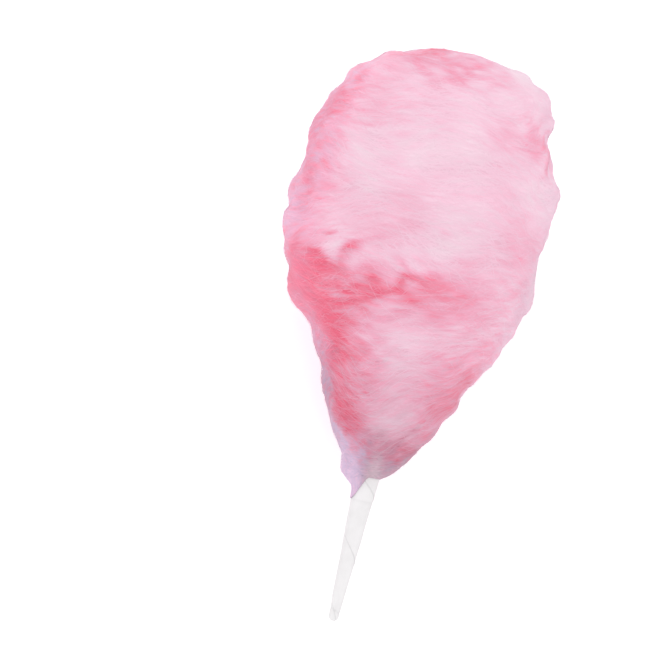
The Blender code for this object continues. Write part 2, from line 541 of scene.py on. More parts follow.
@dataclass(frozen=True)
class Patch:
    """A soft patch of more or less dye. Angles are in degrees, from the right side by
    the shown side; lengths are metres."""

    angle: float
    height: float
    reach_round: float
    reach_along: float
    amount: float
    slope: float = 0.0  # metres it climbs for each degree

    def at(self, angle: Array, height: Array) -> Array:
        """The patch's share of dye: a Gaussian in angle times one in height."""
        turn = (angle - self.angle + 180.0) % 360.0 - 180.0
        along = (height - self.height - self.slope * turn) / self.reach_along
        return self.amount * np.exp(-((turn / self.reach_round) ** 2) - along**2)


PATCHES = (
    # the deep left edge, from the flare up to the crown
    Patch(166, 0.328, 24, 0.058, 0.62),
    Patch(154, 0.292, 11, 0.014, 0.30),
    Patch(154, 0.360, 13, 0.016, 0.46),
    Patch(160, 0.232, 30, 0.025, 0.74),
    Patch(154, 0.182, 30, 0.046, 0.78),
    # the coral band over the shown side, and its deepest gaps
    Patch(96, 0.240, 40, 0.016, 0.35),
    Patch(102, 0.240, 19, 0.006, 0.42, -0.00030),
    Patch(128, 0.249, 18, 0.008, 0.34, -0.00020),
    Patch(121, 0.224, 9, 0.008, 0.24),
    Patch(138, 0.206, 13, 0.012, 0.26),
    Patch(120, 0.210, 9, 0.008, -0.14),
    Patch(120, 0.265, 9, 0.008, -0.08),
    Patch(86, 0.266, 8, 0.005, 0.16),
    Patch(40, 0.250, 22, 0.022, 0.14),
    # the flare
    Patch(126, 0.144, 20, 0.018, 0.66),
    Patch(32, 0.176, 34, 0.045, 0.50),
    Patch(112, 0.184, 15, 0.020, 0.24),
    Patch(60, 0.196, 10, 0.009, 0.16),
    Patch(166, 0.214, 20, 0.012, 0.26),
    Patch(12, 0.166, 12, 0.024, 0.20),
    Patch(92, 0.170, 30, 0.040, 0.10),
    Patch(50, 0.128, 34, 0.010, 0.36),
    Patch(105, 0.126, 20, 0.010, 0.22),
    # the shown side above the band
    Patch(112, 0.292, 20, 0.022, 0.04),
    Patch(44, 0.288, 12, 0.022, 0.12),
    Patch(78, 0.341, 16, 0.016, -0.10),
    Patch(118, 0.351, 40, 0.011, 0.10),
    Patch(74, 0.366, 20, 0.010, 0.12),
    Patch(30, 0.358, 26, 0.014, 0.40),
    # the crown
    Patch(138, 0.409, 26, 0.010, 0.58),
    Patch(98, 0.395, 34, 0.012, 0.38),
    Patch(22, 0.410, 28, 0.012, -0.15),
    # the back
    Patch(250, 0.225, 60, 0.026, 0.42),
    Patch(300, 0.290, 50, 0.025, 0.25),
    Patch(250, 0.360, 50, 0.030, 0.15),
    Patch(235, 0.160, 60, 0.030, 0.30),
)


@dataclass(frozen=True)
class Wash:
    """A wide wash over one part of the candy: an amount, times a smooth rise over the
    turn's cosine (1 at the right, -1 at the left), over its sine (1 at the shown side)
    and over the height, or times a bell in the cosine or the height. A rise is given by
    where it starts and where it is full, so it may run down; a bell by its middle and
    its reach. Heights are metres."""

    amount: float
    sides: tuple[float, float] | None = None
    heights: tuple[float, float] | None = None
    ups: tuple[float, float] | None = None
    side_bell: tuple[float, float] | None = None
    height_bell: tuple[float, float] | None = None

    def at(self, rightness: Array, upness: Array, height: Array) -> Array:
        """The wash where the turn has this cosine and sine, shaped as height."""
        wash = np.full(height.shape, self.amount)
        for rise, value in (
            (self.sides, rightness),
            (self.ups, upness),
            (self.heights, height),
        ):
            wash *= 1.0 if rise is None else smooth_step(*rise, value)
        for place, value in ((self.side_bell, rightness), (self.height_bell, height)):
            wash *= 1.0 if place is None else bell(value, *place)
        return wash


LILAC_AND_EDGE_SHADE = (
    # painted shade: the left edge turns lilac, less of it on the band and over the crown, more on
    # the flare
    Wash(0.46, sides=(-0.72, -1.00)),
    Wash(-0.26, sides=(-0.72, -1.00), height_bell=(0.232, 0.022)),
    Wash(-0.50, sides=(-0.72, -1.00), heights=(0.37, 0.40)),
    Wash(0.10, sides=(-0.72, -1.00), heights=(0.22, 0.18)),
    Wash(0.22, sides=(-0.72, -1.00), height_bell=(0.162, 0.014)),
    # all of the collar's left, a spot on its right and a trace round it
    Wash(1.00, sides=(0.05, -0.45), heights=(0.150, 0.108)),
    Wash(0.45, side_bell=(0.60, 0.22), height_bell=(0.120, 0.007)),
    Wash(0.25, heights=(0.135, 0.100)),
    # painted shade: a trace of lilac along the right edge
    Wash(0.12, sides=(0.80, 1.00)),
)

PAINTED_LIGHT_AND_SHADE = (
    # painted shade: the flare is darker, but for the collar's left, and most so on the shown neck
    Wash(-0.12, heights=(0.215, 0.150)),
    Wash(0.144, sides=(0.05, -0.45), heights=(0.140, 0.108)),
    Wash(-0.25, sides=(-0.65, -0.10), heights=(0.158, 0.115), ups=(-0.45, 0.30)),
    # painted shade at the right edge of the belly and of the neck, and at the left edge of the
    # flare
    Wash(-0.07, sides=(0.75, 0.97), height_bell=(0.265, 0.050)),
    Wash(-0.06, sides=(0.80, 0.97), height_bell=(0.133, 0.016)),
    Wash(-0.10, sides=(-0.75, -1.00), height_bell=(0.162, 0.016)),
    # painted light: the left edge above the flare is brighter
    Wash(0.10, sides=(-0.60, -0.97), heights=(0.16, 0.24)),
)


@dataclass
class Tint:
    """What the sugar is painted with at some places, each an array."""

    dye: Array  # how much pink dye it holds, 0 to 1
    lilac: Array  # how far it has turned lilac, 0 to 1; at the edges, painted shade
    tone: Array  # how bright it is, 1 as dyed: random tone with painted shade and painted light
    lively: Array  # how much the fibres there differ from each other


@dataclass(frozen=True)
class Dye:
    """How the sugar took its dye: patches with frayed edges, clouds, tufts and long
    fine streaks, all along the winding. Dyed sugar is lively, with more of all of these.
    It turns lilac where it lies thin over the cone. The lilac at its left and right edges
    is painted shade, and so is the darker tone on the flare and at the edges; a brighter
    tone on the left edge is painted light."""

    base: float = 0.21
    fray: Ripples = Ripples(25, (0.120, 0.024), (0.060, 0.014), 40)
    fray_size: float = 4.0 * MM
    clouds: Clouds = Clouds(21, (0.080, 0.020))
    cloud_dye: float = 0.050
    tufts: Ripples = Ripples(24, (0.070, 0.016), (0.020, 0.006), 80)
    tuft_dye: float = 0.060
    tuft_lilac: float = 0.14
    tuft_tone: float = 0.016
    streaks: Ripples = Ripples(22, (0.20, 0.05), (0.016, 0.0035), 60)
    streak_dye: float = 0.050
    threads: Ripples = Ripples(23, (0.12, 0.03), (0.0040, 0.0016), 60)
    thread_dye: float = 0.035
    thread_lilac: float = 0.10
    thread_tone: float = 0.032
    least_lively: float = 0.30
    lively_dye: float = 1.2  # how much livelier for each share of dye in the patches
    most_lively_dye: float = 0.6
    lively_collar: tuple[float, float] = (0.150, 0.118)
    most_lilac: float = 0.88
    veil: Wash = Wash(1.0, heights=(0.130, 0.112), ups=(0.0, 0.3))
    veil_place: tuple[float, float] = (0.003, 0.005)  # its middle and reach, in x
    veil_dye: float = -0.8
    veil_lilac: float = -0.7
    veil_tone: float = 0.05

    def at(self, points: Array, turn: Array, wound: Array) -> Tint:
        """Works out the tint. A veil of it lets the white cone show in the middle of
        the collar.

        Args:
            points: Places in the candy's frame (..., 3).
            turn: Their turns.
            wound: Their reaches, less the winding's drift.

        Returns:
            The tint, each array shaped as turn.
        """
        x, height = points[..., 0], points[..., 1]
        side = np.cos(2.0 * np.pi * turn), np.sin(2.0 * np.pi * turn)
        frayed = height + self.fray_size * self.fray.at(turn, wound)
        zones = sum(patch.at(360.0 * turn, frayed) for patch in PATCHES)
        lively = self.lively_dye * np.clip(zones, 0.0, self.most_lively_dye)
        on_collar = smooth_step(*self.lively_collar, height)
        lively = np.maximum(self.least_lively + lively, on_collar)
        threads, tufts = self.threads.at(turn, wound), self.tufts.at(turn, wound)
        marks = self.tuft_dye * tufts + self.streak_dye * self.streaks.at(turn, wound)
        marks = lively * (marks + self.thread_dye * threads)
        marks += self.cloud_dye * self.clouds.at(points)
        veil = self.veil.at(*side, height) * bell(x, *self.veil_place)
        dye = np.clip(self.base + zones + marks, 0.0, 1.0) * (1.0 + self.veil_dye * veil)
        lilac = np.clip(sum(wash.at(*side, frayed) for wash in LILAC_AND_EDGE_SHADE), 0.0, 1.0)
        lilac *= 1.0 + self.veil_lilac * veil
        lilac *= self.most_lilac - self.tuft_lilac * tufts - self.thread_lilac * threads
        # the tone takes the painted light and shade, and the veil's brightening
        tone = 1.0 + sum(wash.at(*side, frayed) for wash in PAINTED_LIGHT_AND_SHADE) + self.veil_tone * veil
        tone += lively * (self.thread_tone * threads + self.tuft_tone * tufts)
        return Tint(dye, np.clip(lilac, 0.0, 1.0), tone, lively)


# --------------------------------------------------------------------------------------
# Materials
# --------------------------------------------------------------------------------------


def add_node(
    tree: bpy.types.NodeTree,
    kind: str,
    settings: dict[str, object] | None = None,
    inputs: dict[str | int, object] | None = None,
) -> bpy.types.Node:
    """Adds a node, sets it and links it.

    Args:
        tree: The material's or world's tree.
        kind: The node's type.
        settings: Properties of the node.
        inputs: For each input, a value or the output socket that feeds it.

    Returns:
        The node.
    """
    node = tree.nodes.new(kind)
    for name, value in (settings or {}).items():
        setattr(node, name, value)
    for name, value in (inputs or {}).items():
        if isinstance(value, bpy.types.NodeSocket):
            tree.links.new(value, node.inputs[name])
        else:
            node.inputs[name].default_value = value
    return node


def new_material(name: str) -> tuple[bpy.types.Material, bpy.types.NodeTree]:
    """A material with an empty tree."""
    material = bpy.data.materials.new(name)
    material.use_nodes = True
    material.node_tree.nodes.clear()
    return material, material.node_tree


def attribute(tree: bpy.types.NodeTree, name: str) -> bpy.types.Node:
    """Adds a node that reads one of the values painted on a piece."""
    return add_node(tree, "ShaderNodeAttribute", {"attribute_name": name})


def ramp(
    tree: bpy.types.NodeTree,
    share: bpy.types.NodeSocket,
    stops: Iterable[tuple[float, str]],
) -> bpy.types.NodeSocket:
    """Adds a colour ramp.

    Args:
        tree: The material's tree.
        share: The output that says where on the ramp to read.
        stops: Places and sRGB hex colours.

    Returns:
        The ramp's colour output.
    """
    node = add_node(tree, "ShaderNodeValToRGB", inputs={"Fac": share})
    stops = list(stops)
    elements = node.color_ramp.elements
    while len(elements) < len(stops):
        elements.new(1.0)
    for element, (place, colour) in zip(elements, stops):
        element.position = place
        element.color = linear(colour)
    return node.outputs["Color"]


def toned(tree: bpy.types.NodeTree, colour: bpy.types.NodeSocket) -> bpy.types.NodeSocket:
    """Multiplies a colour by the tone painted on a piece, and gives the result. The tone
    holds painted shade, and on the floss also painted light and random tone.
    """
    mix = add_node(
        tree,
        "ShaderNodeMix",
        {"data_type": "RGBA", "blend_type": "MULTIPLY"},
        {"Factor": 1.0, "A": colour, "B": attribute(tree, "tone").outputs["Color"]},
    )
    return mix.outputs["Result"]


def show(tree: bpy.types.NodeTree, shader: bpy.types.Node) -> None:
    """Leads a shader to the material's output."""
    surface = {"Surface": shader.outputs["BSDF"]}
    add_node(tree, "ShaderNodeOutputMaterial", inputs=surface)


@dataclass(frozen=True)
class SpunSugar:
    """Spun sugar: molten dyed sugar flung into fibres far finer than a hair, lying
    loose on each other. The eye gets a matt, cloudy pastel with a faint silk sheen,
    paler where the fibres lie thin and deeper where they are packed."""

    name: str = "spun_sugar_floss"
    stops: tuple[tuple[float, str], ...] = (  # from undyed to deep coral
        (0.0, "fbe0ec"),
        (0.22, "facde0"),
        (0.48, "f7adc6"),
        (0.76, "f58ba3"),
        (1.0, "f06a85"),
    )
    lilac: str = "d9bfdc"
    roughness: float = 0.75
    sheen: float = 0.10

    def material(self) -> bpy.types.Material:
        """Makes the material from the pieces' painted values of dye, lilac and tone."""
        material, tree = new_material(self.name)
        dyed = ramp(tree, attribute(tree, "dye").outputs["Fac"], self.stops)
        share = attribute(tree, "lilac").outputs["Fac"]
        tinted = add_node(
            tree,
            "ShaderNodeMix",
            {"data_type": "RGBA"},
            {"Factor": share, "A": dyed, "B": linear(self.lilac)},
        )
        sugar = add_node(
            tree,
            "ShaderNodeBsdfPrincipled",
            inputs={
                "Base Color": toned(tree, tinted.outputs["Result"]),
                "Roughness": self.roughness,
                "IOR": 1.50,
                "Specular IOR Level": 0.15,
                "Sheen Weight": self.sheen,
                "Sheen Roughness": 0.5,
            },
        )
        show(tree, sugar)
        return material


@dataclass(frozen=True)
class RolledPaper:
    """White kraft paper, rolled and glued into a cone: matt and smooth, with a faint
    cockle from the glue and fibres that only show as a slight unevenness."""

    name: str = "white_cone_paper"
    white: str = "f8f6f7"
    grey: str = "f2f0f1"
    roughness: float = 0.62

    def material(self) -> bpy.types.Material:
        """Makes the material, with a soft cockle about 10 mm across. The painted tone
        is painted shade: it darkens the paper's edge, its creases and its two sides."""
        material, tree = new_material(self.name)
        where = add_node(tree, "ShaderNodeTexCoord")
        cockle = add_node(
            tree,
            "ShaderNodeTexNoise",
            inputs={"Vector": where.outputs["Object"], "Scale": 100.0, "Detail": 3.0},
        )
        colours = (0.30, self.grey), (0.65, self.white)
        bump = add_node(
            tree,
            "ShaderNodeBump",
            inputs={
                "Height": cockle.outputs["Fac"],
                "Strength": 0.15,
                "Distance": 0.3 * MM,
            },
        )
        paper = add_node(
            tree,
            "ShaderNodeBsdfPrincipled",
            inputs={
                "Base Color": toned(tree, ramp(tree, cockle.outputs["Fac"], colours)),
                "Roughness": self.roughness,
                "IOR": 1.50,
                "Specular IOR Level": 0.3,
                "Normal": bump.outputs["Normal"],
            },
        )
        show(tree, paper)
        return material


# --------------------------------------------------------------------------------------
# The paper cone
# --------------------------------------------------------------------------------------


@dataclass
class PaperCone:
    """The rolled paper cone. Its paper ends in an edge that winds round it, a step of
    one paper's thickness, and its tip is tucked in along a slanting crease."""

    place: CandyFrame
    node: bpy.types.Object
    columns: int = 84
    row_length: float = 1.2 * MM
    tip_radius: float = 3.4 * MM
    paper: float = 0.32 * MM
    seam_pitch: float = 48.0 * MM  # the edge winds once round in this height
    seam_start: float = -317.5  # its angle at the tip, in degrees
    step_share: float = 0.008  # of a turn, over which the edge drops
    tuck_height: float = 7.4 * MM
    tuck_slant: float = 1.7 * MM
    tuck_depth: float = 0.45 * MM
    tuck_turn: float = math.radians(150.0)  # where it is highest
    tuck_reach: float = 0.7 * MM
    tuck_line: float = 0.5 * MM  # how far its painted shade reaches
    ring_height: float = 88.5 * MM  # where the paper was creased under the floss
    ring_reach: float = 0.6 * MM
    cockle: Clouds = Clouds(41, (0.030, 0.010), 24)
    cockle_depth: float = 0.06 * MM
    edge_painted_shade: float = 0.16  # painted shade at the paper's edge: the share of the light lost there
    under_edge_painted_shade: float = 0.112  # and close under the edge
    edge_reach: float = 0.012  # of a turn
    tuck_painted_shade: float = 0.10  # painted shade in the tuck's crease: the share lost there
    ring_painted_shade: float = 0.07  # and in the ring's
    side_painted_shade: float = 0.07  # painted shade at the cone's two sides: the share lost there
    painted_shade_sides: tuple[float, float] = (0.40, 0.95)  # where the sides' painted shade rises, as the turn's cosine, either way

    def __post_init__(self) -> None:
        """Reads the length and the taper off the CAD cone."""
        solid = self.place.to_candy(node_points(self.node))
        mouth_radius = np.hypot(solid[:, 0], solid[:, 2]).max()
        self.length = solid[:, 1].max()
        self.taper = (mouth_radius - self.tip_radius) / self.length

    def radius(self, height: Array) -> Array:
        """The cone's radius: it grows evenly from the tip to the mouth."""
        return self.tip_radius + self.taper * height

    def rows(self) -> Array:
        """Heights of the rows from the tip up, closest where the tip rounds over."""
        turn = 0.5 * np.pi * np.linspace(0.0, 1.0, 7)
        tip = self.tip_radius * (1.0 - np.cos(turn))
        count = round((self.length - tip[-1]) / self.row_length)
        return np.concatenate((tip, np.linspace(tip[-1], self.length, count)[1:]))

    def build(self) -> Piece:
        """Works the cone out as a grid of rows by turns past the paper's edge.

        The radius is the taper, times a quarter ellipse over the tip, plus the paper
        times the share of a turn past its edge, less a slanting crease at the tuck.

        Returns:
            The piece, closed by a point at the tip and one in the mouth.
        """
        height = self.rows()[1:, None]
        past = np.linspace(0.0, 1.0 - self.step_share, self.columns)[None, :]
        angle = np.radians(self.seam_start + 360.0 * height / self.seam_pitch)
        angle = angle + 2.0 * np.pi * past
        low = np.clip(height / self.tip_radius, 0.0, 1.0)
        radius = self.radius(height) * np.sqrt(1.0 - (1.0 - low) ** 2)
        radius = radius + self.paper * past * low
        crease = self.tuck_height + self.tuck_slant * np.cos(angle - self.tuck_turn)
        radius = radius - self.tuck_depth * bell(height, crease, self.tuck_reach)
        parts = radius * np.cos(angle), height, radius * np.sin(angle)
        grid = np.stack(np.broadcast_arrays(*parts), axis=-1)
        out = unit(grid * (1.0, 0.0, 1.0))
        grid = grid + (self.cockle_depth * self.cockle.at(grid))[..., None] * out
        tip = np.zeros((1, self.columns, 3))
        mouth = np.zeros((1, self.columns, 3)) + (0.0, self.length, 0.0)
        # the paper's tone is its painted shade
        tone = 1.0 - self.painted_shade(past, height, crease, angle)
        tone = np.concatenate((tone[:1], tone, tone[-1:]))
        whole = np.concatenate((tip, grid, mouth))
        return closed_grid("rolled_paper_cone", whole, {"tone": tone})

    def painted_shade(self, past: Array, height: Array, crease: Array, angle: Array) -> Array:
        """The painted shade: how much darker the paper is at its edge, its creases and its two
        sides.

        Args:
            past: Shares of a turn past the edge.
            height: Heights over the tip.
            crease: The tuck's height.
            angle: Angles round the axis.

        Returns:
            The share of light that is lost, (rows, columns).
        """
        edge = self.edge_painted_shade * bell(past, 0.0, self.edge_reach)
        edge = np.maximum(edge, self.under_edge_painted_shade * bell(past, 1.0, self.edge_reach))
        tuck = self.tuck_painted_shade * bell(height, crease, self.tuck_line)
        ring = self.ring_painted_shade * bell(height, self.ring_height, self.ring_reach)
        sides = self.side_painted_shade * smooth_step(*self.painted_shade_sides, np.abs(np.cos(angle)))
        return edge + tuck + ring + sides


# --------------------------------------------------------------------------------------
# The floss
# --------------------------------------------------------------------------------------


def closed_grid(name: str, grid: Array, values: dict[str, Array] | None = None) -> Piece:
    """Makes a piece of a grid that closes on itself round the axis.

    The first and last rows are each one point. The rows in between are rings, joined by
    four-sided faces that look outwards when the rows run up and the columns turn from
    the right side by the shown side.

    Args:
        name: The piece's name.
        grid: Points (rows, columns, 3); each row counts once at the two ends.
        values: Painted values by name, each (rows, columns).

    Returns:
        The piece, with its map: turn across and row up.
    """
    rows, columns = grid.shape[:2]
    index = 1 + np.arange((rows - 2) * columns).reshape(rows - 2, columns)
    ahead = np.roll(index, -1, axis=1)
    last = 1 + index.size
    low = np.stack((index[0], np.zeros_like(index[0]), ahead[0]), axis=-1)[:, ::-1]
    top = np.full_like(index[-1], last)
    high = np.stack((index[-1], ahead[-1], top), axis=-1)[:, ::-1]
    sides = np.stack((index[:-1], ahead[:-1], ahead[1:], index[1:]), axis=-1)
    sides = sides.reshape(-1, 4)[:, ::-1]

    def flat(value: Array) -> Array:
        """One entry for each vertex: an end, the rings, the other end."""
        ring = value[1:-1].reshape(-1, *value.shape[2:])
        return np.concatenate((value[:1, 0], ring, value[-1:, 0]))

    column = np.arange(columns) / columns
    step = 1.0 / columns
    row = np.linspace(0.0, 1.0, rows)

    def corner(u: Array, v: Array | float) -> Array:
        """UV of one corner of every face in a row of faces."""
        return np.stack(np.broadcast_arrays(u, v), axis=-1)

    middle = column + 0.5 * step
    low_map = [corner(column, row[1]), corner(middle, 0.0), corner(column + step, row[1])]
    high_map = [corner(column, row[-2]), corner(column + step, row[-2])]
    high_map.append(corner(middle, 1.0))
    v0, v1 = row[1:-2, None], row[2:-1, None]
    side_map = [corner(column, v0), corner(column + step, v0)]
    side_map += [corner(column + step, v1), corner(column, v1)]
    maps = [np.stack(corners, axis=-2)[..., ::-1, :] for corners in (low_map, high_map)]
    maps.append(np.stack(side_map, axis=-2)[..., ::-1, :])
    corner_map = np.concatenate([part.reshape(-1, 2) for part in maps])
    painted = {name: flat(value) for name, value in (values or {}).items()}
    return Piece(name, flat(grid), [low, high, sides], corner_map, painted)


@dataclass
class FlossCore:
    """The body of the floss: the skin with its bands and creases, closed by a socket
    that fits round the cone."""

    skin: FlossSkin
    winding: Winding
    dye: Dye
    cone: PaperCone
    socket_gap: float = 0.3 * MM
    socket_rows: int = 10
    foot: tuple[float, float] = (0.0882, 0.1067)  # where the film ends, left and right
    foot_turn: tuple[float, float] = (-1.1, 0.2)  # between them, as the turn's cosine
    foot_drawn: float = 14.0 * MM  # how much of the skin is drawn down to the foot
    foot_pulled: float = 17.0 * MM  # how much of it is pulled in to the cone
    hugging: tuple[float, float] = (0.1070, 0.0950)  # from off the cone to close on it
    collar_left: tuple[float, float] = (-0.2, -0.9)  # as the turn's cosine
    waist: float = 2.6 * MM  # how far the collar's left is pulled in over its lobe
    waist_place: tuple[float, float] = (0.115, 0.006)  # its height and its reach
    scallops: Ripples = Ripples(33, (0.30, 0.08), (0.034, 0.020), 24)
    scallop_depth: float = 0.6 * MM  # on the left and right edges
    scallops_between: float = 0.25  # share of that elsewhere
    scallop_edges: tuple[float, float] = (0.70, 0.97)  # as the turn's cosine, either way
    smooth_rim: float = 30.0 * MM
    smooth_pole: tuple[float, float] = (4.0 * MM, 50.0 * MM)  # radius, at the crown
    clouds: Clouds = Clouds(31, (0.055, 0.024))
    cloud_depth: float = 1.2 * MM
    creases: Ripples = Ripples(32, (0.12, 0.03), (0.012, 0.005), 50)
    crease_depth: float = 0.08 * MM
    shade: float = 0.06  # painted shade: how much darker the deepest grooves are
    level_shade: float = 0.3  # share of the shade on a level skin
    depth_shade: float = 0.7  # and the rest, in the deepest grooves
    groove_dye: float = 0.04  # how much more dye they hold
    softness: float = 0.7  # how much of the relief the light passing through evens out

    def film(self, height: Array) -> Array:
        """The radius of the film of sugar that lies on the cone at a height."""
        return self.cone.radius(height) + self.cone.paper + 2.0 * self.socket_gap

    def draw_collar(self) -> None:
        """Draws the skin's first rows down to a film that hugs the cone.

        The first row moves to the foot's height, lowest on the left, and to just off
        the cone. The rows above move with it, less and less over the drawn stretch. On
        the left the film keeps to the cone up to where it starts to leave it, and a
        waist is drawn in over the collar's lobe.
        """
        skin = self.skin
        rightness = np.cos(2.0 * np.pi * skin.turn)
        low, high = self.foot
        foot = low + (high - low) * smooth_step(*self.foot_turn, rightness)
        reach = skin.reach[:, None]
        drawn = 1.0 - smooth_step(0.0, self.foot_drawn, reach)
        pulled = 1.0 - smooth_step(0.0, self.foot_pulled, reach)
        height = skin.points[..., 1] + (foot - skin.points[0, :, 1]) * drawn
        before = skin.radius()
        left = smooth_step(*self.collar_left, rightness)
        radius = before + (self.film(foot) - before[0]) * pulled
        radius -= self.waist * left * bell(height, *self.waist_place)
        hug = left * smooth_step(*self.hugging, height)
        radius -= hug * np.maximum(radius - self.film(height), 0.0)
        share = radius / np.maximum(before, 1e-6)
        skin.points[..., 0] *= share
        skin.points[..., 2] *= share
        skin.points[..., 1] = height
        skin.measure()

    def raise_relief(self) -> None:
        """Raises the bands, creases and clouds on the skin, and measures it again."""
        skin = self.skin
        turn, reach = np.meshgrid(skin.turn, skin.reach)
        near_rim = smooth_step(0.0, self.smooth_rim, reach)
        from_pole = smooth_step(*self.smooth_pole, skin.radius())
        smooth = skin.normals
        wound = reach - self.winding.drift(turn, reach, skin.reach[-1])
        relief = self.winding.relief(turn, wound)
        relief += self.crease_depth * self.creases.at(turn, wound)
        edges = smooth_step(*self.scallop_edges, np.abs(np.cos(2.0 * np.pi * turn)))
        sides = self.scallops_between + (1.0 - self.scallops_between) * edges
        relief += self.scallop_depth * sides * self.scallops.at(turn, reach)
        relief *= from_pole * near_rim
        relief += self.cloud_depth * near_rim * self.clouds.at(skin.points)
        raised = skin.points + relief[..., None] * skin.normals
        raised[-1] = raised[-1].mean(axis=0)
        raised = skin.place.to_world(raised)
        raised[..., 2] = np.maximum(raised[..., 2], 0.0)
        skin.points = skin.place.to_candy(raised)
        skin.measure()
        skin.shading = unit(skin.normals + self.softness * (smooth - skin.normals))
        self.relief = relief

    def socket(self) -> Array:
        """Rows that line the cone, from over its mouth down to the rim, the first of
        them one point."""
        skin, cone = self.skin, self.cone
        top = cone.length + self.socket_gap
        rim = skin.points[0, :, 1] + self.socket_gap
        share = np.linspace(0.0, 1.0, self.socket_rows)[:, None]
        height = top + (rim - top) * share
        rows = skin.polar(cone.radius(height) + cone.paper + self.socket_gap, height)
        return np.concatenate((np.zeros((1, skin.around, 3)) + (0.0, top, 0.0), rows))

    def build(self) -> Piece:
        """Joins the socket's rows to the skin's and paints the dye, the lilac and the tone on
        both, with painted shade in the grooves.
        """
        skin = self.skin
        grid = np.concatenate((self.socket(), skin.points))
        hidden = self.socket_rows + 1
        reach = np.concatenate((np.zeros(hidden), skin.reach))
        turn, reach = np.meshgrid(skin.turn, reach)
        wound = reach - self.winding.drift(turn, reach, skin.reach[-1])
        relief = np.concatenate((np.zeros((hidden, skin.around)), self.relief))
        depth = np.clip(relief / self.winding.band_depth, -1.0, 1.0)
        tint = self.dye.at(grid, turn, wound)
        # painted shade in the grooves, taken off the tone
        shaded = np.clip(self.level_shade - self.depth_shade * depth, 0.0, 1.0)
        values = {
            "dye": tint.dye - self.groove_dye * depth,
            "lilac": tint.lilac,
            "tone": tint.tone - self.shade * shaded,
        }
        return closed_grid("floss_body", grid, values)


@dataclass(frozen=True)
class FibreLayer:
    """One layer of fibres laid on the skin. A real fibre is about 0.05 mm thick, far
    too fine to show, so each one here is a flat lock of many."""

    name: str
    seed: int
    count: int
    stations: int
    length: tuple[float, float]
    width: tuple[float, float]
    flatness: float  # height over width
    lift: tuple[float, float]  # how far its middle stands off the skin, metres
    slope: float  # spread of its climb: metres along for each metre round
    wave: float  # how far it sways, metres
    dye_spread: float  # how much the fibres' dye differs
    tone: tuple[float, float]  # the dimmest and the brightest fibre
    fade: float = 0.0  # the most of its dye that a fibre may lack
    sink: float = 0.35 * MM  # how deep its ends are in the skin
    over_crown: float = 0.05  # share of the fibres that cross the crown instead
    seeking: float = 0.0  # how much rarer it is where the sugar is calm


